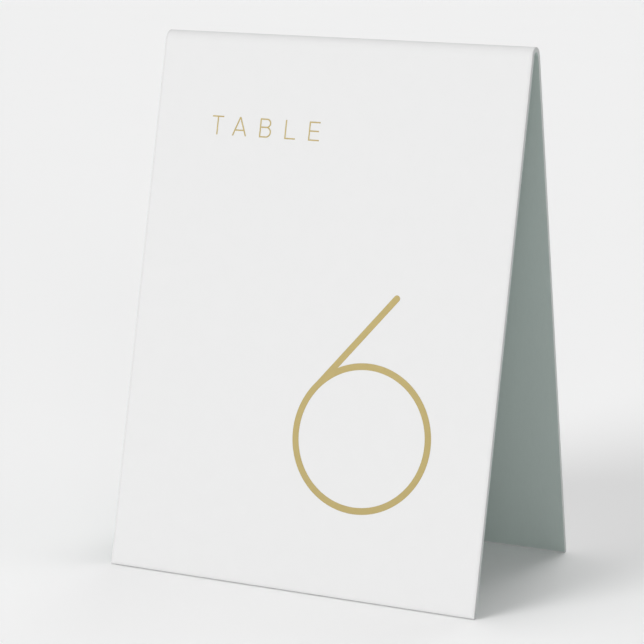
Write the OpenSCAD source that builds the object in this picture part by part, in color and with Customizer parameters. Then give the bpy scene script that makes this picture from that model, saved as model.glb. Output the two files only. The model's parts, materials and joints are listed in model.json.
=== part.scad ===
// Table number tent: a stiff white board folded once over a rounded crest so that it stands
// on its two free edges, lined inside with sage paper, with the table's number stamped on
// both faces in gold foil. The crest is a living hinge: the tent folds shut or opens flat.
// Origin: middle of the footprint, on the table. +X along the crest, -Y front, +Z up.

/* [Card] */
// Width of the card along the crest
card_w = 127; // [80:1:200]
// Straight length of each leaf, from its foot to the start of the bend
leaf_l = 171.5; // [155:0.5:260]
// Thickness of the white board
board_t = 1.5; // [1:0.1:2.5]
// Thickness of the sage lining paper
liner_t = 0.12; // [0.08:0.01:0.3]
// Gap between the foot of a leaf and the lining's lower edge
liner_foot_gap = 0.5; // [0.2:0.1:2]

/* [Fold] */
// Inside radius of the board at the crest
fold_r = 1.8; // [0.8:0.1:4]
// Lean of each leaf from the vertical
lean = 12.65; // [8:0.05:25]

/* [Numeral] */
// Mid-line radius of the numeral's ring
ring_r = 22.46; // [10:0.02:30]
// Width of the numeral's stroke
ring_stroke = 2.1; // [1:0.1:4]
// Ring's centre, to the right of the card's centre line
ring_x = 20.1; // [-8:0.1:21]
// Ring's centre, up the leaf from its foot
ring_up = 50; // [35:0.5:65]
// Slope of the numeral's leg above the horizontal
leg_slope = 50.9; // [40:0.1:65]
// Length of the leg, from the ring to the centre of its round end
leg_l = 39; // [25:0.5:45]

/* [Word] */
// Height of the capitals
cap_h = 6.1; // [4:0.1:7.5]
// Width of the letters' strokes
letter_stroke = 0.43; // [0.3:0.01:0.8]
// Left edge of the word, to the left of the card's centre line
word_left = 43.3; // [36:0.1:45]
// Baseline of the word, up the leaf from its foot
word_up = 141.35; // [125:0.05:145]
// Space between letters
letter_gap = 4.6; // [2:0.1:5]

/* [Foil] */
// Thickness of the gold foil
foil_t = 0.05; // [0.03:0.01:0.2]

/* [Hidden] */
$fn = 96;

WHITE = [0.93, 0.93, 0.92];
SAGE = [0.55, 0.62, 0.59];
GOLD = [0.77, 0.69, 0.45];

FRONT = 0;
REAR = 1;

// The bend runs from the front leaf's normal over the crest to the rear leaf's normal.
fold_ro = fold_r + board_t;
liner_r = fold_r - liner_t;
bend_angle = 180 - 2 * lean;
crest_z = leaf_l * cos(lean) - fold_r * sin(lean);

// How far the leg's mid-line runs inside the ring's, so that their edges cross cleanly.
LEG_TUCK = 0.06;

// Letter widths, each a share of the cap height, and the side pairs that are set closer or wider.
T_W = 0.67 * cap_h;
A_W = 0.84 * cap_h;
B_W = 0.67 * cap_h;
L_W = 0.62 * cap_h;
E_W = 0.62 * cap_h;
TA_KERN = -1.2;
BL_KERN = 0.3;
T_X = 0;
A_X = T_X + T_W + letter_gap + TA_KERN;
B_X = A_X + A_W + letter_gap;
L_X = B_X + B_W + letter_gap + BL_KERN;
E_X = L_X + L_W + letter_gap;

// Height of each crossbar's centre line, as a share of the cap height.
A_BAR = 0.30;
B_BAR = 0.54;
E_BAR = 0.505;

// ---- placing ----

// Puts a shape drawn with the bend's centre at the origin and the leaf hanging straight
// down on its -Y side onto the front or the rear of the tent.
module on_side(side) {
    rotate([0, 0, 180 * side])
        translate([0, 0, crest_z])
            rotate([-lean, 0, 0])
                children();
}

// A flat layer of a leaf, from y_out to y_in, with its lower edge raised by foot_gap.
module leaf_layer(side, y_out, y_in, foot_gap) {
    on_side(side)
        translate([-card_w / 2, -y_out, -leaf_l + foot_gap])
            cube([card_w, y_out - y_in, leaf_l - foot_gap]);
}

// One layer of the bend, between two radii, over the whole width of the card.
module bend_layer(r_out, r_in) {
    translate([-card_w / 2, 0, crest_z])
        rotate([90, 0, 90])
            rotate([0, 0, lean])
                linear_extrude(card_w)
                    arc_band(r_out, r_in, bend_angle);
}

// A band between two radii that spans an angle from the +X axis.
module arc_band(r_out, r_in, angle) {
    reach = 2 * r_out;
    intersection() {
        difference() {
            circle(r_out);
            circle(r_in);
        }
        polygon([
            [0, 0],
            [reach, 0],
            [reach, reach],
            [-reach, reach],
            [reach * cos(angle), reach * sin(angle)]
        ]);
    }
}

// Lays a flat drawing on a leaf's outer face: X to the reader's right, Y up from the foot.
module stamp(side) {
    color(GOLD)
        on_side(side)
            translate([0, -fold_ro, -leaf_l])
                rotate([90, 0, 0])
                    linear_extrude(foil_t)
                        children();
}

// Stamps one letter of the word, whose left edge is x from the word's own left edge.
module stamp_letter(side, x) {
    stamp(side)
        translate([x - word_left, word_up])
            children();
}

// ---- flat drawings ----

// A disc with a straight leg that leaves it nearly at a tangent and ends in a round cap, and
// then the hole that makes the disc a ring. Both strokes are the same width.
module numeral_six() {
    leg_y = ring_r - LEG_TUCK;
    translate([ring_x, ring_up])
        difference() {
            union() {
                circle(ring_r + ring_stroke / 2);
                rotate([0, 0, leg_slope]) {
                    translate([0, leg_y - ring_stroke / 2])
                        square([leg_l, ring_stroke]);
                    translate([leg_l, leg_y])
                        circle(ring_stroke / 2);
                }
            }
            circle(ring_r - ring_stroke / 2);
        }
}

// An upright or level stroke with its lower left corner at x, y.
module stroke(x, y, w, h) {
    translate([x, y])
        square([w, h]);
}

module upright(x) {
    stroke(x, 0, letter_stroke, cap_h);
}

// A level stroke whose centre line is at y.
module level(x, y, w) {
    stroke(x, y - letter_stroke / 2, w, letter_stroke);
}

module letter_t() {
    level(0, cap_h - letter_stroke / 2, T_W);
    upright((T_W - letter_stroke) / 2);
}

// Two slanted strokes that meet under a flat top, with a crossbar: a solid A less the space
// inside its strokes, which the crossbar divides. The space is cut from one below the baseline.
module letter_a() {
    foot_w = letter_stroke * norm([A_W / 2, cap_h]) / cap_h;
    slant = (A_W - foot_w) / 2 / cap_h;
    difference() {
        polygon([
            [0, 0],
            [(A_W - foot_w) / 2, cap_h],
            [(A_W + foot_w) / 2, cap_h],
            [A_W, 0]
        ]);
        difference() {
            polygon([
                [foot_w - slant, -1],
                [A_W / 2, (A_W / 2 - foot_w) / slant],
                [A_W - foot_w + slant, -1]
            ]);
            level(0, A_BAR * cap_h, A_W);
        }
    }
}

// A closed half bowl of the letter B, from y_low to y_high and out to x_out.
module bowl(y_low, y_high, x_out) {
    r_out = (y_high - y_low) / 2;
    translate([x_out - r_out, y_low + r_out])
        intersection() {
            difference() {
                circle(r_out);
                circle(r_out - letter_stroke);
            }
            translate([0, -r_out])
                square([r_out, 2 * r_out]);
        }
    stroke(0, y_low, x_out - r_out, letter_stroke);
    stroke(0, y_high - letter_stroke, x_out - r_out, letter_stroke);
}

module letter_b() {
    waist = B_BAR * cap_h;
    upright(0);
    bowl(0, waist + letter_stroke / 2, B_W);
    bowl(waist - letter_stroke / 2, cap_h, 0.95 * B_W);
}

module letter_l() {
    upright(0);
    level(0, letter_stroke / 2, L_W);
}

module letter_e() {
    upright(0);
    level(0, letter_stroke / 2, E_W);
    level(0, E_BAR * cap_h, 0.93 * E_W);
    level(0, cap_h - letter_stroke / 2, E_W);
}

// ---- sub-parts ----

module front_leaf() {
    color(WHITE)
        leaf_layer(FRONT, fold_ro, fold_r, 0);
}

module rear_leaf() {
    color(WHITE)
        leaf_layer(REAR, fold_ro, fold_r, 0);
}

module fold_spine() {
    color(WHITE)
        bend_layer(fold_ro, fold_r);
}

module front_liner() {
    color(SAGE)
        leaf_layer(FRONT, fold_r, liner_r, liner_foot_gap);
}

module rear_liner() {
    color(SAGE)
        leaf_layer(REAR, fold_r, liner_r, liner_foot_gap);
}

module fold_liner() {
    color(SAGE)
        bend_layer(fold_r, liner_r);
}

module front_numeral_six() {
    stamp(FRONT)
        numeral_six();
}

module front_letter_t() {
    stamp_letter(FRONT, T_X)
        letter_t();
}

module front_letter_a() {
    stamp_letter(FRONT, A_X)
        letter_a();
}

module front_letter_b() {
    stamp_letter(FRONT, B_X)
        letter_b();
}

module front_letter_l() {
    stamp_letter(FRONT, L_X)
        letter_l();
}

module front_letter_e() {
    stamp_letter(FRONT, E_X)
        letter_e();
}

module rear_numeral_six() {
    stamp(REAR)
        numeral_six();
}

module rear_letter_t() {
    stamp_letter(REAR, T_X)
        letter_t();
}

module rear_letter_a() {
    stamp_letter(REAR, A_X)
        letter_a();
}

module rear_letter_b() {
    stamp_letter(REAR, B_X)
        letter_b();
}

module rear_letter_l() {
    stamp_letter(REAR, L_X)
        letter_l();
}

module rear_letter_e() {
    stamp_letter(REAR, E_X)
        letter_e();
}

front_leaf();
rear_leaf();
fold_spine();
front_liner();
rear_liner();
fold_liner();
front_numeral_six();
front_letter_t();
front_letter_a();
front_letter_b();
front_letter_l();
front_letter_e();
rear_numeral_six();
rear_letter_t();
rear_letter_a();
rear_letter_b();
rear_letter_l();
rear_letter_e();
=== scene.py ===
import json
import math

import bmesh
import bpy
from mathutils import Matrix, Vector


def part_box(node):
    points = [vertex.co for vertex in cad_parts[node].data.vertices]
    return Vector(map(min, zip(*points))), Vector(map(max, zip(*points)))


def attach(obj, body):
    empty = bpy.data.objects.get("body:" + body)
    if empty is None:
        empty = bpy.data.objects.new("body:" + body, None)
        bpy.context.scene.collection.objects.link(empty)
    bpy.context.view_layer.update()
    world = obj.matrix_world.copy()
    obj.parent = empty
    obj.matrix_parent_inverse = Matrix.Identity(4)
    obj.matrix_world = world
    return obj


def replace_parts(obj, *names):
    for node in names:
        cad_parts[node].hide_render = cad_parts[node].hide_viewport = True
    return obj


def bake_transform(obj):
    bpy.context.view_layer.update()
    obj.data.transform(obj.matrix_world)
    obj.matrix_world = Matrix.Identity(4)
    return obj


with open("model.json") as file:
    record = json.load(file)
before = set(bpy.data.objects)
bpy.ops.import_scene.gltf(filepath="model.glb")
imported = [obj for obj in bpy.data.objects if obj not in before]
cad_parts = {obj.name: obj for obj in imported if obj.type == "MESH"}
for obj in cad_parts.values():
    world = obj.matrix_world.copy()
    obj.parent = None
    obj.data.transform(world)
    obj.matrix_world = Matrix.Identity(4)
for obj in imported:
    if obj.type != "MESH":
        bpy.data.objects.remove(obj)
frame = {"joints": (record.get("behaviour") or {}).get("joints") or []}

bl_info = {
    "name": "Table Number Tent",
    "version": (1, 0, 0),
    "blender": (4, 5, 0),
    "location": "3D View > Sidebar > Tent",
    "description": "A folded white board with a sage lining, a word and a numeral in gold foil",
    "category": "Object",
}

MM = 0.001
DEG = math.radians(1)
UP = Vector((0, 0, 1))
ACROSS = Vector((1, 0, 0))

FRONT = "front_side"
REAR = "rear_side"

# ---- sizes read from the frame, in metres ----

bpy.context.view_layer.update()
LEAF_LOW, LEAF_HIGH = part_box("front_leaf")
SPINE_LOW, SPINE_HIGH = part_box("fold_spine")
CREST_Z = frame["joints"][0]["pos_m"][2]
CARD_W = LEAF_HIGH.x - LEAF_LOW.x

# Each leaf leans in from the vertical by LEAN, and the bend runs from the front leaf's
# normal over the crest to the rear leaf's.
LEAN = math.atan2(LEAF_HIGH.z - CREST_Z, SPINE_HIGH.y)
BEND = math.pi - 2 * LEAN
FOLD_RO = SPINE_HIGH.y / math.cos(LEAN)
FOLD_R = (SPINE_LOW.z - CREST_Z) / math.sin(LEAN)
LINER_R = (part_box("fold_liner")[0].z - CREST_Z) / math.sin(LEAN)
BOARD_T = FOLD_RO - FOLD_R
LEAF_L = (CREST_Z + FOLD_R * math.sin(LEAN) - LEAF_LOW.z) / math.cos(LEAN)
LINER_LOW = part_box("front_liner")[0].z
LINER_L = (CREST_Z + LINER_R * math.sin(LEAN) - LINER_LOW) / math.cos(LEAN)

# The outer edge of a leaf's foot, where the drawings on a leaf are measured from.
FOOT_Y = FOLD_RO * math.cos(LEAN) + LEAF_L * math.sin(LEAN)
FOOT_Z = CREST_Z + FOLD_RO * math.sin(LEAN) - LEAF_L * math.cos(LEAN)

# ---- shapes that the frame doesn't give ----

# Steps of the bend. Each is about 2.4 degrees, so the crest reads as round in close-up.
FOLD_STEPS = 64
# Narrow bands beside each edge and each end of the bend, which keep the leaves flat in shading.
EDGE_BAND = 0.6 * MM
CREST_BAND = 1.2 * MM
# How much narrower the sheets are drawn over the bend, on each side. The real ones aren't.
BEND_TUCK = 0.05 * MM
# Rounding of the board's inner edges, which the lining mostly hides.
INNER_ROUND = 0.05 * MM
ROUND_STEPS = 3
# Faces that meet at more than this are a square corner. The bend's steps are far flatter.
CORNER = 60 * DEG
# Points closer than this are one point, in the foil's outlines and in the floor.
FOIL_WELD = 0.0001 * MM
FLOOR_WELD = 0.01 * MM

# The crest's painted shade: its tone as a share of the flat board's, and how far down the sheet it fades.
CREST_PAINTED_SHADE = 0.95
CREST_SHADE_FADE = BEND / 2 * FOLD_RO + 1.0 * MM
# The same painted shade for the sheet's rim, and the sheet's length from the crest to a foot.
RIM_PAINTED_SHADE = 0.92
RIM_SHADE_FADE = 1.3 * MM
SHEET_HALF_L = BEND / 2 * FOLD_RO + LEAF_L

# The numeral's stroke, the slope of its leg, and how far the leg is tucked into the ring.
RING_STROKE = 2.1 * MM
LEG_SLOPE = 50.9 * DEG
LEG_TUCK = 0.06 * MM
RING_STEPS = 192
CAP_STEPS = 16

# The capitals' stroke, and the heights of the crossbars' centre lines as shares of the cap height.
LETTER_STROKE = 0.43 * MM
A_BAR = 0.30
B_BAR = 0.54
E_BAR = 0.505
B_UPPER_W = 0.95
E_MIDDLE_W = 0.93
BOWL_STEPS = 24

# The foil's edge is broken by a little less than a quarter of its thickness.
FOIL_BREAK = 0.24

# Camera: turned to the card's right, a little above it, and aimed below its middle.
AIM = Vector((-6.110, -3.671, 79.081)) * MM
CAMERA_ROLL = -0.5605 * DEG
SENSOR_W = 36.0

# Soft lights far away: azimuth to the right of the card's front, height above the floor, width
# of the source, all in degrees, and strength.
LIGHTS = (
    ("key light", -30, 25, 30, 1.55),
    ("low left light", -30, 7, 30, 0.29),
    ("low right light", 30, 7, 30, 0.95),
    ("side light", -90, 70, 30, 0.22),
    ("top light", 180, 70, 30, 0.61),
    ("back light", 180, 45, 30, 0.31),
)

# The floor is a wide dish of paper whose rim curves up, so that every side has a plain ground.
FLOOR_FLAT_R = 12.0
FLOOR_RIM_R = 1.0
FLOOR_STEPS = 96
RIM_STEPS = 16


# ---- colours and nodes ----

def linear(hex_code):
    """An sRGB hex colour as linear red, green, blue and alpha."""
    parts = [int(hex_code[i:i + 2], 16) / 255 for i in (1, 3, 5)]
    return [c / 12.92 if c <= 0.04045 else ((c + 0.055) / 1.055) ** 2.4 for c in parts] + [1.0]


def add(tree, kind, settings, links=None):
    """Adds a node, gives it its properties and input values, and links outputs to its inputs."""
    node = tree.nodes.new(kind)
    for key, value in settings.items():
        if isinstance(key, int) or key in node.inputs:
            node.inputs[key].default_value = value
        else:
            setattr(node, key, value)
    for key, socket in (links or {}).items():
        tree.links.new(socket, node.inputs[key])
    return node


def new_material(name):
    """An empty node material, whose nodes the caller adds."""
    material = bpy.data.materials.new(name)
    material.use_nodes = True
    material.node_tree.nodes.clear()
    return material


# ---- materials ----

def pressed_cotton_board(colour):
    """The board's two faces.

    Uncoated white board, plate-pressed: quite matt, with a cloudy formation of the fibres
    that shows as a slow mottle and a tooth that only grazing light finds.
    """
    material = new_material("uncoated white board, plate-pressed")
    tree = material.node_tree
    sheet = add(tree, "ShaderNodeAttribute", {"attribute_name": "sheet"}).outputs["Vector"]
    # Clouds in the pulp are about 6 mm across.
    cloud = add(tree, "ShaderNodeTexNoise", {"Scale": 1 / (6 * MM), "Detail": 3.0, "Roughness": 0.55},
                {"Vector": sheet})
    # The tooth is 0.2 mm on the real board and is drawn at 0.7 mm, so that it shows at all.
    tooth = add(tree, "ShaderNodeTexNoise", {"Scale": 1 / (0.7 * MM), "Detail": 4.0, "Roughness": 0.6},
                {"Vector": sheet})
    tone = add(tree, "ShaderNodeMapRange",
               {"From Min": 0.3, "From Max": 0.7, "To Min": 0.996, "To Max": 1.004},
               {"Value": cloud.outputs["Fac"]})
    # Over the crest the sheet is painted a touch greyer than on the flat: painted shade on the bend.
    place = add(tree, "ShaderNodeSeparateXYZ", {}, {"Vector": sheet})
    off_crest = add(tree, "ShaderNodeMath", {"operation": "ABSOLUTE"}, {0: place.outputs["Y"]})
    crest_shade = add(tree, "ShaderNodeMapRange",
                 {"interpolation_type": "SMOOTHSTEP", "From Min": 0.0, "From Max": CREST_SHADE_FADE,
                  "To Min": CREST_PAINTED_SHADE, "To Max": 1.0},
                 {"Value": off_crest.outputs["Value"]})
    # Its rim is painted a touch greyer too: painted shade along the sides and the feet.
    off_centre = add(tree, "ShaderNodeMath", {"operation": "ABSOLUTE"}, {0: place.outputs["X"]})
    to_side = add(tree, "ShaderNodeMath", {"operation": "SUBTRACT", 0: CARD_W / 2},
                  {1: off_centre.outputs["Value"]})
    to_foot = add(tree, "ShaderNodeMath", {"operation": "SUBTRACT", 0: SHEET_HALF_L},
                  {1: off_crest.outputs["Value"]})
    to_rim = add(tree, "ShaderNodeMath", {"operation": "MINIMUM"},
                 {0: to_side.outputs["Value"], 1: to_foot.outputs["Value"]})
    rim_shade = add(tree, "ShaderNodeMapRange",
                  {"interpolation_type": "SMOOTHSTEP", "From Min": 0.0, "From Max": RIM_SHADE_FADE,
                   "To Min": RIM_PAINTED_SHADE, "To Max": 1.0},
                  {"Value": to_rim.outputs["Value"]})
    # Painted shade of the crest and the rim together, as one factor on the board's colour.
    painted_shade = add(tree, "ShaderNodeMath", {"operation": "MULTIPLY"},
               {0: crest_shade.outputs["Result"], 1: rim_shade.outputs["Result"]})
    shade = add(tree, "ShaderNodeMath", {"operation": "MULTIPLY"},
                {0: tone.outputs["Result"], 1: painted_shade.outputs["Value"]})
    pulp = add(tree, "ShaderNodeVectorMath", {"operation": "SCALE", 0: list(colour)[:3]},
               {"Scale": shade.outputs["Value"]})
    matt = add(tree, "ShaderNodeMapRange",
               {"From Min": 0.3, "From Max": 0.7, "To Min": 0.82, "To Max": 0.94},
               {"Value": tooth.outputs["Fac"]})
    relief = add(tree, "ShaderNodeBump", {"Strength": 0.12, "Distance": 0.02 * MM},
                 {"Height": tooth.outputs["Fac"]})
    surface = add(tree, "ShaderNodeBsdfPrincipled", {"IOR": 1.5, "Specular IOR Level": 0.25},
                  {"Base Color": pulp.outputs["Vector"], "Roughness": matt.outputs["Result"],
                   "Normal": relief.outputs["Normal"]})
    add(tree, "ShaderNodeOutputMaterial", {}, {"Surface": surface.outputs["BSDF"]})
    return material


def guillotined_core(colour):
    """The board's cut edges.

    Pasted plies sheared by a guillotine: rougher than the face, with fine lines that follow
    the sheet round the bend.
    """
    material = new_material("pasted board core, guillotined")
    tree = material.node_tree
    sheet = add(tree, "ShaderNodeAttribute", {"attribute_name": "sheet"}).outputs["Vector"]
    # Long along the edge and short through the thickness: four plies of about 0.4 mm.
    stretched = add(tree, "ShaderNodeMapping",
                    {"Scale": (1 / (7 * MM), 1 / (7 * MM), 1 / (0.2 * MM))}, {"Vector": sheet})
    plies = add(tree, "ShaderNodeTexNoise", {"Scale": 1.0, "Detail": 3.0, "Roughness": 0.5},
                {"Vector": stretched.outputs["Vector"]})
    tone = add(tree, "ShaderNodeMapRange",
               {"From Min": 0.25, "From Max": 0.75, "To Min": 0.90, "To Max": 1.04},
               {"Value": plies.outputs["Fac"]})
    core = add(tree, "ShaderNodeVectorMath", {"operation": "SCALE", 0: list(colour)[:3]},
               {"Scale": tone.outputs["Result"]})
    relief = add(tree, "ShaderNodeBump", {"Strength": 0.25, "Distance": 0.03 * MM},
                 {"Height": plies.outputs["Fac"]})
    surface = add(tree, "ShaderNodeBsdfPrincipled",
                  {"IOR": 1.5, "Specular IOR Level": 0.15, "Roughness": 0.95},
                  {"Base Color": core.outputs["Vector"], "Normal": relief.outputs["Normal"]})
    add(tree, "ShaderNodeOutputMaterial", {}, {"Surface": surface.outputs["BSDF"]})
    return material


def dyed_sage_paper(colour):
    """The lining.

    Text-weight paper dyed in the pulp and pasted down: a flat grey-green with fibres a touch
    lighter and darker than the dye.
    """
    material = new_material("sage paper, dyed in the pulp")
    tree = material.node_tree
    sheet = add(tree, "ShaderNodeAttribute", {"attribute_name": "sheet"}).outputs["Vector"]
    # Fibres are 2 to 3 mm long and are drawn 0.5 mm wide, so that they show at all.
    along = add(tree, "ShaderNodeMapping",
                {"Scale": (1 / (0.5 * MM), 1 / (2.5 * MM), 1 / (2.5 * MM))}, {"Vector": sheet})
    fibre = add(tree, "ShaderNodeTexNoise", {"Scale": 1.0, "Detail": 4.0, "Roughness": 0.6},
                {"Vector": along.outputs["Vector"]})
    tone = add(tree, "ShaderNodeMapRange",
               {"From Min": 0.3, "From Max": 0.7, "To Min": 0.985, "To Max": 1.015},
               {"Value": fibre.outputs["Fac"]})
    dye = add(tree, "ShaderNodeVectorMath", {"operation": "SCALE", 0: list(colour)[:3]},
              {"Scale": tone.outputs["Result"]})
    relief = add(tree, "ShaderNodeBump", {"Strength": 0.06, "Distance": 0.02 * MM},
                 {"Height": fibre.outputs["Fac"]})
    surface = add(tree, "ShaderNodeBsdfPrincipled",
                  {"IOR": 1.5, "Specular IOR Level": 0.2, "Roughness": 0.9},
                  {"Base Color": dye.outputs["Vector"], "Normal": relief.outputs["Normal"]})
    add(tree, "ShaderNodeOutputMaterial", {}, {"Surface": surface.outputs["BSDF"]})
    return material


def stamped_gold_foil(colour):
    """The word and the numeral.

    Matt gold foil, hot-stamped: a metal film that takes the board's tooth, so its sheen is
    broad and even, with no mirror in it.
    """
    material = new_material("matt gold foil, hot-stamped")
    tree = material.node_tree
    place = add(tree, "ShaderNodeTexCoord", {}).outputs["Object"]
    # The board's tooth, pressed through the film and drawn at the same 0.7 mm.
    tooth = add(tree, "ShaderNodeTexNoise", {"Scale": 1 / (0.7 * MM), "Detail": 4.0, "Roughness": 0.6},
                {"Vector": place})
    tone = add(tree, "ShaderNodeMapRange",
               {"From Min": 0.3, "From Max": 0.7, "To Min": 0.97, "To Max": 1.03},
               {"Value": tooth.outputs["Fac"]})
    film = add(tree, "ShaderNodeVectorMath", {"operation": "SCALE", 0: list(colour)[:3]},
               {"Scale": tone.outputs["Result"]})
    matt = add(tree, "ShaderNodeMapRange",
               {"From Min": 0.3, "From Max": 0.7, "To Min": 0.50, "To Max": 0.62},
               {"Value": tooth.outputs["Fac"]})
    relief = add(tree, "ShaderNodeBump", {"Strength": 0.12, "Distance": 0.02 * MM},
                 {"Height": tooth.outputs["Fac"]})
    surface = add(tree, "ShaderNodeBsdfPrincipled", {"Metallic": 0.7},
                  {"Base Color": film.outputs["Vector"], "Roughness": matt.outputs["Result"],
                   "Normal": relief.outputs["Normal"]})
    add(tree, "ShaderNodeOutputMaterial", {}, {"Surface": surface.outputs["BSDF"]})
    return material


def seamless_paper(colour):
    """The floor: a roll of pale background paper, matt and almost even."""
    material = new_material("seamless background paper")
    tree = material.node_tree
    place = add(tree, "ShaderNodeTexCoord", {}).outputs["Object"]
    # Slow unevenness of the roll, about 150 mm across.
    cloud = add(tree, "ShaderNodeTexNoise", {"Scale": 1 / (150 * MM), "Detail": 2.0},
                {"Vector": place})
    tone = add(tree, "ShaderNodeMapRange",
               {"From Min": 0.3, "From Max": 0.7, "To Min": 0.998, "To Max": 1.002},
               {"Value": cloud.outputs["Fac"]})
    paper = add(tree, "ShaderNodeVectorMath", {"operation": "SCALE", 0: list(colour)[:3]},
                {"Scale": tone.outputs["Result"]})
    surface = add(tree, "ShaderNodeBsdfPrincipled", {"Specular IOR Level": 0.0, "Roughness": 1.0},
                  {"Base Color": paper.outputs["Vector"]})
    add(tree, "ShaderNodeOutputMaterial", {}, {"Surface": surface.outputs["BSDF"]})
    return material


# ---- placing ----

def make_piece(bm, name, materials):
    """Turns a bmesh into a finished object at the origin, with its materials."""
    mesh = bpy.data.meshes.new(name)
    bm.to_mesh(mesh)
    bm.free()
    for material in materials:
        mesh.materials.append(material)
    piece = bpy.data.objects.new(name, mesh)
    bpy.context.scene.collection.objects.link(piece)
    return piece


def on_sheet(point):
    """Where a point of the folded card lies on the flat one.

    Across the card, up it from the crest, and the depth below its outer face.
    """
    y = point.y
    z = point.z - CREST_Z
    turn = math.atan2(y, z)
    if abs(turn) <= BEND / 2:
        return Vector((point.x, turn * FOLD_RO, FOLD_RO - math.hypot(y, z)))
    side = math.copysign(1, y)
    down = side * y * math.sin(LEAN) - z * math.cos(LEAN)
    out = side * y * math.cos(LEAN) + z * math.sin(LEAN)
    return Vector((point.x, side * (BEND / 2 * FOLD_RO + down), FOLD_RO - out))


def leaf_drawing(body):
    """The matrix that lays a flat drawing on a leaf: X to the reader's right, Y up from the foot."""
    half_turn = Matrix.Rotation(math.pi if body == REAR else 0, 4, "Z")
    foot = Matrix.Translation((0, -FOOT_Y, FOOT_Z))
    stand = Matrix.Rotation(math.pi / 2 - LEAN, 4, "X")
    return half_turn @ foot @ stand


# ---- the folded sheets ----

def folded_sheet(r_out, r_in, leaf_l):
    """One continuous sheet between two radii: up the front leaf, over the bend, down the rear."""
    bm = bmesh.new()
    middle = (r_out + r_in) / 2
    foot = Matrix.Translation((0, -middle, -leaf_l)) @ Matrix.Diagonal((CARD_W, r_out - r_in, 1, 1))
    bmesh.ops.create_grid(bm, x_segments=1, y_segments=1, size=0.5, matrix=foot)
    end = bm.faces[:]
    rise = (EDGE_BAND, leaf_l - EDGE_BAND - CREST_BAND, CREST_BAND)
    for length in rise:
        end = draw_on(bm, end, UP * length)
    turned = bmesh.ops.spin(bm, geom=end, axis=ACROSS, cent=(0, 0, 0), angle=-BEND, steps=FOLD_STEPS)
    end = [g for g in turned["geom_last"] if isinstance(g, bmesh.types.BMFace)]
    onward = Matrix.Rotation(-BEND, 3, "X") @ UP
    for length in reversed(rise):
        end = draw_on(bm, end, onward * length)
    # Each step leaves the face that it was drawn from as a wall inside the sheet.
    walls = [f for f in bm.faces if all(len(e.link_faces) > 2 for e in f.edges)]
    bmesh.ops.delete(bm, geom=walls, context="FACES_ONLY")
    for side in (-1, 1):
        cut = side * (CARD_W / 2 - EDGE_BAND)
        bmesh.ops.bisect_plane(bm, geom=bm.verts[:] + bm.edges[:] + bm.faces[:],
                               plane_co=(cut, 0, 0), plane_no=ACROSS)
    bmesh.ops.recalc_face_normals(bm, faces=bm.faces)
    bmesh.ops.transform(bm, verts=bm.verts,
                        matrix=Matrix.Translation((0, 0, CREST_Z)) @ Matrix.Rotation(-LEAN, 4, "X"))
    return bm


def draw_on(bm, end, step):
    """Draws the sheet's end face on by one step, and returns the new end."""
    drawn = bmesh.ops.extrude_face_region(bm, geom=end)["geom"]
    bmesh.ops.translate(bm, vec=step, verts=[g for g in drawn if isinstance(g, bmesh.types.BMVert)])
    return [g for g in drawn if isinstance(g, bmesh.types.BMFace)]


def is_corner(edge):
    """Whether an edge is a square corner of a sheet."""
    return edge.is_manifold and edge.calc_face_angle() > CORNER


def is_bend(face):
    """Whether a face is part of the bend, and so is curved."""
    return abs(on_sheet(face.calc_center_median()).y) < BEND / 2 * FOLD_RO


def tuck_bend(bm):
    """Draws the sheet's two sides in by a hair over the bend.

    The hinge has one fixed axis, so when the card lies flat the bend has no length left and
    its surfaces cross. Narrowed, they cross inside the leaves' cut edges and not in their plane.
    """
    ends = BEND / 2 * FOLD_RO * (1 - 1 / FOLD_STEPS)
    for side in (-1, 1):
        rim = [v for v in bm.verts
               if side * v.co.x > CARD_W / 2 - EDGE_BAND / 2 and abs(on_sheet(v.co).y) < ends]
        bmesh.ops.translate(bm, vec=ACROSS * -side * BEND_TUCK, verts=rim)


def is_cut(face, depth):
    """Whether a face runs through more of a sheet's thickness than depth, as a cut edge does."""
    depths = [on_sheet(v.co).z for v in face.verts]
    return max(depths) - min(depths) > depth


def round_edges(bm, edges, radius):
    """Rounds edges over by a small radius."""
    bmesh.ops.bevel(bm, geom=edges, offset=radius, offset_type="OFFSET", segments=ROUND_STEPS,
                    profile=0.5, affect="EDGES", material=-1, clamp_overlap=True)


def lay_out(bm):
    """Stores where each point lies on the flat card, which the paper's patterns follow."""
    layer = bm.verts.layers.float_vector.new("sheet")
    for vert in bm.verts:
        vert[layer] = on_sheet(vert.co)


def make_board(card):
    """The white board: one sheet, with its edges rounded and its cut edges showing the core."""
    bm = folded_sheet(FOLD_RO, FOLD_R, LEAF_L)
    corners = [e for e in bm.edges if is_corner(e)]
    half = BOARD_T / 2
    outer = [e for e in corners if max(on_sheet(v.co).z for v in e.verts) < half]
    inner = [e for e in corners if min(on_sheet(v.co).z for v in e.verts) > half]
    round_edges(bm, outer, card.edge_round)
    inner = [e for e in inner if e.is_valid]
    round_edges(bm, inner, INNER_ROUND)
    tuck_bend(bm)
    lay_out(bm)
    for face in bm.faces:
        cut = is_cut(face, half)
        face.material_index = 1 if cut else 0
        face.smooth = not cut
    board = make_piece(bm, "white_board",
                       [pressed_cotton_board(card.board_colour), guillotined_core(card.core_colour)])
    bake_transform(board)
    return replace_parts(board, "front_leaf", "fold_spine", "rear_leaf")


def make_lining(card):
    """The sage lining: one thin sheet inside the board, square at its edges."""
    bm = folded_sheet(FOLD_R, LINER_R, LINER_L)
    for face in bm.faces:
        face.smooth = is_bend(face) and not is_cut(face, (FOLD_R - LINER_R) / 2)
    tuck_bend(bm)
    lay_out(bm)
    lining = make_piece(bm, "sage_lining", [dyed_sage_paper(card.sage_colour)])
    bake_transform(lining)
    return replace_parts(lining, "front_liner", "fold_liner", "rear_liner")


# ---- the foil ----

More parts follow.
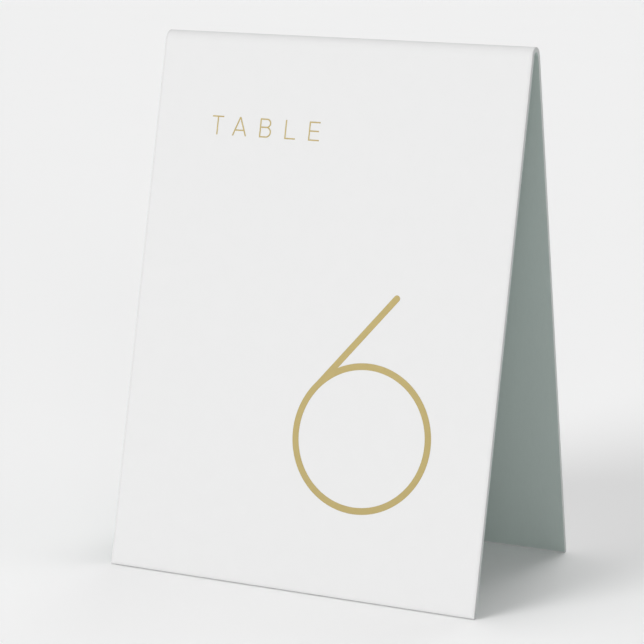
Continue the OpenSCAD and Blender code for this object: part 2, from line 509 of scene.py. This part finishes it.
class Outline:
    """A closed line drawn in the plane by moving a point."""

    def __init__(self, bm, x, y):
        self.bm = bm
        self.tip = bmesh.ops.create_vert(bm, co=(x, y, 0))["vert"][0]

    def to(self, *points):
        """Draws straight lines to one point after another."""
        for x, y in points:
            drawn = bmesh.ops.extrude_vert_indiv(self.bm, verts=[self.tip])["verts"]
            bmesh.ops.translate(self.bm, vec=Vector((x, y, 0)) - self.tip.co, verts=drawn)
            self.tip = drawn[0]
        return self

    def round(self, x, y, angle, steps):
        """Swings the point about a centre, anticlockwise if the angle is above 0."""
        swung = bmesh.ops.spin(self.bm, geom=[self.tip], cent=(x, y, 0), axis=UP, angle=angle,
                               steps=steps)["geom_last"]
        self.tip = [g for g in swung if isinstance(g, bmesh.types.BMVert)][0]
        return self


def make_foil(bm, name, body, node, card, finish):
    """Fills the outlines drawn in a bmesh, gives the film its thickness and lays it on a leaf."""
    bmesh.ops.remove_doubles(bm, verts=bm.verts, dist=FOIL_WELD)
    bmesh.ops.triangle_fill(bm, use_beauty=True, use_dissolve=False, edges=bm.edges, normal=UP)
    raised = bmesh.ops.extrude_face_region(bm, geom=bm.faces[:])["geom"]
    bmesh.ops.translate(bm, vec=UP * card.foil_t,
                        verts=[g for g in raised if isinstance(g, bmesh.types.BMVert)])
    bmesh.ops.recalc_face_normals(bm, faces=bm.faces)
    rim = [e for e in bm.edges if is_corner(e) and min(v.co.z for v in e.verts) > card.foil_t / 2]
    bmesh.ops.bevel(bm, geom=rim, offset=card.foil_t * FOIL_BREAK, offset_type="OFFSET", segments=1,
                    profile=0.5, affect="EDGES", material=-1, clamp_overlap=True)
    bmesh.ops.transform(bm, verts=bm.verts, matrix=leaf_drawing(body))
    piece = make_piece(bm, name, [finish])
    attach(piece, body)
    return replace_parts(piece, node)


def draw_six(bm, card):
    """The numeral: a ring, with a straight leg that leaves it at a tangent and has a round end."""
    low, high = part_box("front_numeral_six")
    r_out = (high.x - low.x) / 2
    r_in = r_out - RING_STROKE
    ring_x = (high.x + low.x) / 2
    ring_y = (low.z - FOOT_Z) / math.cos(LEAN) + r_out
    top = (high.z - card.foil_t * math.sin(LEAN) - FOOT_Z) / math.cos(LEAN)
    # The leg lies level here, above the ring's centre, and is turned to its slope at the end.
    leg_out = r_out - LEG_TUCK
    leg_in = leg_out - RING_STROKE
    leg_mid = (leg_out + leg_in) / 2
    leg_l = (top - ring_y - RING_STROKE / 2 - leg_mid * math.cos(LEG_SLOPE)) / math.sin(LEG_SLOPE)
    leaves_at = math.asin(leg_out / r_out)
    returns_at = math.asin(leg_in / r_out)
    sweep = 2 * math.pi - (leaves_at - returns_at)
    line = Outline(bm, r_out * math.cos(leaves_at), leg_out)
    line.round(0, 0, sweep, RING_STEPS)
    line.to((leg_l, leg_in))
    line.round(leg_l, leg_mid, math.pi, CAP_STEPS)
    line.to((r_out * math.cos(leaves_at), leg_out))
    bmesh.ops.create_circle(bm, cap_ends=False, segments=RING_STEPS, radius=r_in)
    bmesh.ops.transform(bm, verts=bm.verts,
                        matrix=Matrix.Translation((ring_x, ring_y, 0)) @ Matrix.Rotation(LEG_SLOPE, 4, "Z"))


def draw_t(bm, w, h, s):
    """T: an arm on an upright."""
    left = (w - s) / 2
    right = (w + s) / 2
    Outline(bm, left, 0).to((right, 0), (right, h - s), (w, h - s), (w, h), (0, h), (0, h - s),
                            (left, h - s), (left, 0))


def draw_a(bm, w, h, s):
    """A: two slants that meet under a flat top, a counter above the bar and a gap below it."""
    foot = s * math.hypot(w / 2, h) / h
    slant = (w - foot) / 2 / h
    bar_low = A_BAR * h - s / 2
    bar_high = A_BAR * h + s / 2
    peak = (w / 2 - foot) / slant
    Outline(bm, 0, 0).to((foot, 0), (foot + slant * bar_low, bar_low),
                         (w - foot - slant * bar_low, bar_low), (w - foot, 0), (w, 0),
                         ((w + foot) / 2, h), ((w - foot) / 2, h), (0, 0))
    Outline(bm, foot + slant * bar_high, bar_high).to((w - foot - slant * bar_high, bar_high),
                                                      (w / 2, peak),
                                                      (foot + slant * bar_high, bar_high))


def draw_b(bm, w, h, s):
    """B: an upright with two half-round bowls, the upper a little narrower."""
    waist = B_BAR * h
    lower_r = (waist + s / 2) / 2
    upper_r = (h - waist + s / 2) / 2
    lower_x = w - lower_r
    upper_x = w * B_UPPER_W - upper_r
    lower_y = lower_r
    upper_y = h - upper_r
    # The bowls' outer rounds cross a little to the right of both centres.
    cross_x, cross_y = crossing(lower_x, lower_y, lower_r, upper_x, upper_y, upper_r)
    lower_end = math.atan2(cross_y - lower_y, cross_x - lower_x)
    upper_start = math.atan2(cross_y - upper_y, cross_x - upper_x)
    line = Outline(bm, 0, 0).to((lower_x, 0))
    line.round(lower_x, lower_y, math.pi / 2 + lower_end, BOWL_STEPS)
    line.round(upper_x, upper_y, math.pi / 2 - upper_start, BOWL_STEPS)
    line.to((0, h), (0, 0))
    for x, y, r in ((lower_x, lower_y, lower_r - s), (upper_x, upper_y, upper_r - s)):
        counter = Outline(bm, s, y - r).to((x, y - r))
        counter.round(x, y, math.pi, BOWL_STEPS)
        counter.to((s, y + r), (s, y - r))


def crossing(x1, y1, r1, x2, y2, r2):
    """The right-hand point where two circles cross."""
    across = Vector((x2 - x1, y2 - y1))
    gap = across.length
    along = (gap * gap + r1 * r1 - r2 * r2) / (2 * gap)
    aside = math.sqrt(r1 * r1 - along * along)
    unit = across / gap
    return x1 + unit.x * along + unit.y * aside, y1 + unit.y * along - unit.x * aside


def draw_l(bm, w, h, s):
    """L: an upright on an arm."""
    Outline(bm, 0, 0).to((w, 0), (w, s), (s, s), (s, h), (0, h), (0, 0))


def draw_e(bm, w, h, s):
    """E: an upright with three arms, the middle one shorter."""
    low = E_BAR * h - s / 2
    high = E_BAR * h + s / 2
    middle = w * E_MIDDLE_W
    Outline(bm, 0, 0).to((w, 0), (w, s), (s, s), (s, low), (middle, low), (middle, high), (s, high),
                         (s, h - s), (w, h - s), (w, h), (0, h), (0, 0))


LETTERS = {"t": draw_t, "a": draw_a, "b": draw_b, "l": draw_l, "e": draw_e}


def make_letter(letter, body, card, finish):
    """One capital of the word, in the place and size of its solid in the frame."""
    low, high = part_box("front_letter_" + letter)
    baseline = (low.z - FOOT_Z) / math.cos(LEAN)
    cap_h = (high.z - low.z - card.foil_t * math.sin(LEAN)) / math.cos(LEAN)
    bm = bmesh.new()
    LETTERS[letter](bm, high.x - low.x, cap_h, LETTER_STROKE)
    bmesh.ops.translate(bm, vec=(low.x, baseline, 0), verts=bm.verts)
    side = body.split("_")[0]
    return make_foil(bm, f"foil_{letter}_{side}", body, f"{side}_letter_{letter}", card, finish)


# ---- settings ----

class TentCard(bpy.types.PropertyGroup):
    """The card's finishes, and the fine sizes that its solids don't hold."""

    edge_round: bpy.props.FloatProperty(
        name="Edge rounding", description="Radius of the board's outer edges",
        default=0.15 * MM, min=0.05 * MM, max=0.5 * MM, unit="LENGTH")
    foil_t: bpy.props.FloatProperty(
        name="Foil thickness", description="Thickness of the stamped foil",
        default=0.05 * MM, min=0.03 * MM, max=0.2 * MM, unit="LENGTH")
    board_colour: bpy.props.FloatVectorProperty(
        name="Board", description="Colour of the board's faces",
        default=linear("#D9D9D9"), size=4, min=0, max=1, subtype="COLOR")
    core_colour: bpy.props.FloatVectorProperty(
        name="Core", description="Colour of the board's cut edges",
        default=linear("#CDD0CF"), size=4, min=0, max=1, subtype="COLOR")
    sage_colour: bpy.props.FloatVectorProperty(
        name="Lining", description="Colour of the sage lining",
        default=linear("#B5C0BC"), size=4, min=0, max=1, subtype="COLOR")
    gold_colour: bpy.props.FloatVectorProperty(
        name="Foil", description="Colour of the gold foil",
        default=linear("#9F9060"), size=4, min=0, max=1, subtype="COLOR")


class TentStage(bpy.types.PropertyGroup):
    """The camera, the floor and the light."""

    azimuth: bpy.props.FloatProperty(
        name="Azimuth", description="Camera's turn to the right of the card's front",
        default=25.4567 * DEG, subtype="ANGLE")
    elevation: bpy.props.FloatProperty(
        name="Elevation", description="Camera's height angle above its aim",
        default=11.2327 * DEG, subtype="ANGLE")
    distance: bpy.props.FloatProperty(
        name="Distance", description="Camera's distance from its aim",
        default=789.956 * MM, min=0.3, unit="LENGTH")
    lens: bpy.props.FloatProperty(
        name="Lens", description="Focal length in millimetres", default=137.162, min=20)
    floor_colour: bpy.props.FloatVectorProperty(
        name="Floor", description="Colour of the background paper",
        default=linear("#FAFAFA"), size=4, min=0, max=1, subtype="COLOR")
    sky: bpy.props.FloatProperty(
        name="Fill", description="Strength of the even light from all round", default=0.33, min=0)


# ---- operators ----

class TENT_OT_stage(bpy.types.Operator):
    """Sets the camera, the floor and the soft studio light"""
    bl_idname = "tent.stage"
    bl_label = "Stage"

    def execute(self, context):
        stage = context.scene.tent_stage
        context.scene.view_settings.view_transform = "Standard"
        self.set_camera(context, stage)
        self.lay_floor(context, stage)
        self.set_light(context, stage)
        return {"FINISHED"}

    def set_camera(self, context, stage):
        """A long lens, with its picture turned a little about its own axis."""
        data = bpy.data.cameras.new("camera")
        data.sensor_width = SENSOR_W
        data.lens = stage.lens
        data.clip_end = 4 * FLOOR_FLAT_R
        camera = bpy.data.objects.new("camera", data)
        context.scene.collection.objects.link(camera)
        flat = math.cos(stage.elevation)
        forward = Vector((-math.sin(stage.azimuth) * flat, math.cos(stage.azimuth) * flat,
                          -math.sin(stage.elevation)))
        right = Matrix.Rotation(CAMERA_ROLL, 3, forward) @ forward.cross(UP).normalized()
        turn = Matrix((right, right.cross(forward), -forward)).transposed()
        camera.matrix_world = Matrix.Translation(AIM - forward * stage.distance) @ turn.to_4x4()
        context.scene.camera = camera

    def lay_floor(self, context, stage):
        """A dish of paper: flat, with a rim that curves up to the vertical."""
        bm = bmesh.new()
        rim = bmesh.ops.create_vert(bm, co=(0, 0, 0))["vert"]
        edge = bmesh.ops.extrude_vert_indiv(bm, verts=rim)["verts"]
        bmesh.ops.translate(bm, vec=ACROSS * FLOOR_FLAT_R, verts=edge)
        bmesh.ops.spin(bm, geom=edge, cent=(FLOOR_FLAT_R, 0, FLOOR_RIM_R), axis=(0, 1, 0),
                       angle=-math.pi / 2, steps=RIM_STEPS)
        bmesh.ops.spin(bm, geom=bm.verts[:] + bm.edges[:], cent=(0, 0, 0), axis=UP, angle=2 * math.pi,
                       steps=FLOOR_STEPS, use_merge=True)
        bmesh.ops.remove_doubles(bm, verts=bm.verts, dist=FLOOR_WELD)
        bmesh.ops.recalc_face_normals(bm, faces=bm.faces)
        for face in bm.faces:
            face.smooth = True
        mesh = bpy.data.meshes.new("floor")
        bm.to_mesh(mesh)
        bm.free()
        mesh.materials.append(seamless_paper(stage.floor_colour))
        floor = bpy.data.objects.new("floor", mesh)
        context.scene.collection.objects.link(floor)

    def set_light(self, context, stage):
        """An even fill from all round, and wide soft lights far away."""
        world = bpy.data.worlds.new("studio")
        world.use_nodes = True
        world.node_tree.nodes["Background"].inputs["Color"].default_value = (1, 1, 1, 1)
        world.node_tree.nodes["Background"].inputs["Strength"].default_value = stage.sky
        context.scene.world = world
        for light in LIGHTS:
            self.add_soft_light(context, *light)

    def add_soft_light(self, context, name, azimuth, height, width, strength):
        """A distant light, turned about the tent and raised from the floor."""
        data = bpy.data.lights.new(name, "SUN")
        data.energy = strength
        data.angle = width * DEG
        light = bpy.data.objects.new(name, data)
        light.rotation_euler = (math.pi / 2 - height * DEG, 0, azimuth * DEG)
        context.scene.collection.objects.link(light)


class TENT_OT_board(bpy.types.Operator):
    """Folds the white board and rounds its edges"""
    bl_idname = "tent.board"
    bl_label = "White board"

    def execute(self, context):
        make_board(context.scene.tent_card)
        return {"FINISHED"}


class TENT_OT_lining(bpy.types.Operator):
    """Folds the sage lining inside the board"""
    bl_idname = "tent.lining"
    bl_label = "Sage lining"

    def execute(self, context):
        make_lining(context.scene.tent_card)
        return {"FINISHED"}


class TENT_OT_foil(bpy.types.Operator):
    """Stamps the numeral and the word in gold foil on both leaves"""
    bl_idname = "tent.foil"
    bl_label = "Gold foil"

    def execute(self, context):
        card = context.scene.tent_card
        finish = stamped_gold_foil(card.gold_colour)
        for body in (FRONT, REAR):
            side = body.split("_")[0]
            bm = bmesh.new()
            draw_six(bm, card)
            make_foil(bm, f"foil_six_{side}", body, f"{side}_numeral_six", card, finish)
            for letter in LETTERS:
                make_letter(letter, body, card, finish)
        return {"FINISHED"}


class TENT_PT_panel(bpy.types.Panel):
    """Lists the steps in the order in which they are run"""
    bl_idname = "TENT_PT_panel"
    bl_label = "Table Number Tent"
    bl_space_type = "VIEW_3D"
    bl_region_type = "UI"
    bl_category = "Tent"

    def draw(self, context):
        for step in STEPS:
            self.layout.operator(step.bl_idname)
        for settings in (context.scene.tent_card, context.scene.tent_stage):
            box = self.layout.box()
            for name in settings.__annotations__:
                box.prop(settings, name)


SETTINGS = (TentCard, TentStage)
STEPS = (TENT_OT_stage, TENT_OT_board, TENT_OT_lining, TENT_OT_foil)


def register():
    for cls in SETTINGS + STEPS + (TENT_PT_panel,):
        bpy.utils.register_class(cls)
    bpy.types.Scene.tent_card = bpy.props.PointerProperty(type=TentCard)
    bpy.types.Scene.tent_stage = bpy.props.PointerProperty(type=TentStage)


def unregister():
    del bpy.types.Scene.tent_stage
    del bpy.types.Scene.tent_card
    for cls in reversed(SETTINGS + STEPS + (TENT_PT_panel,)):
        bpy.utils.unregister_class(cls)


def main():
    register()
    bpy.ops.tent.stage()
    bpy.ops.tent.board()
    bpy.ops.tent.lining()
    bpy.ops.tent.foil()


if __name__ == "__main__":
    main()
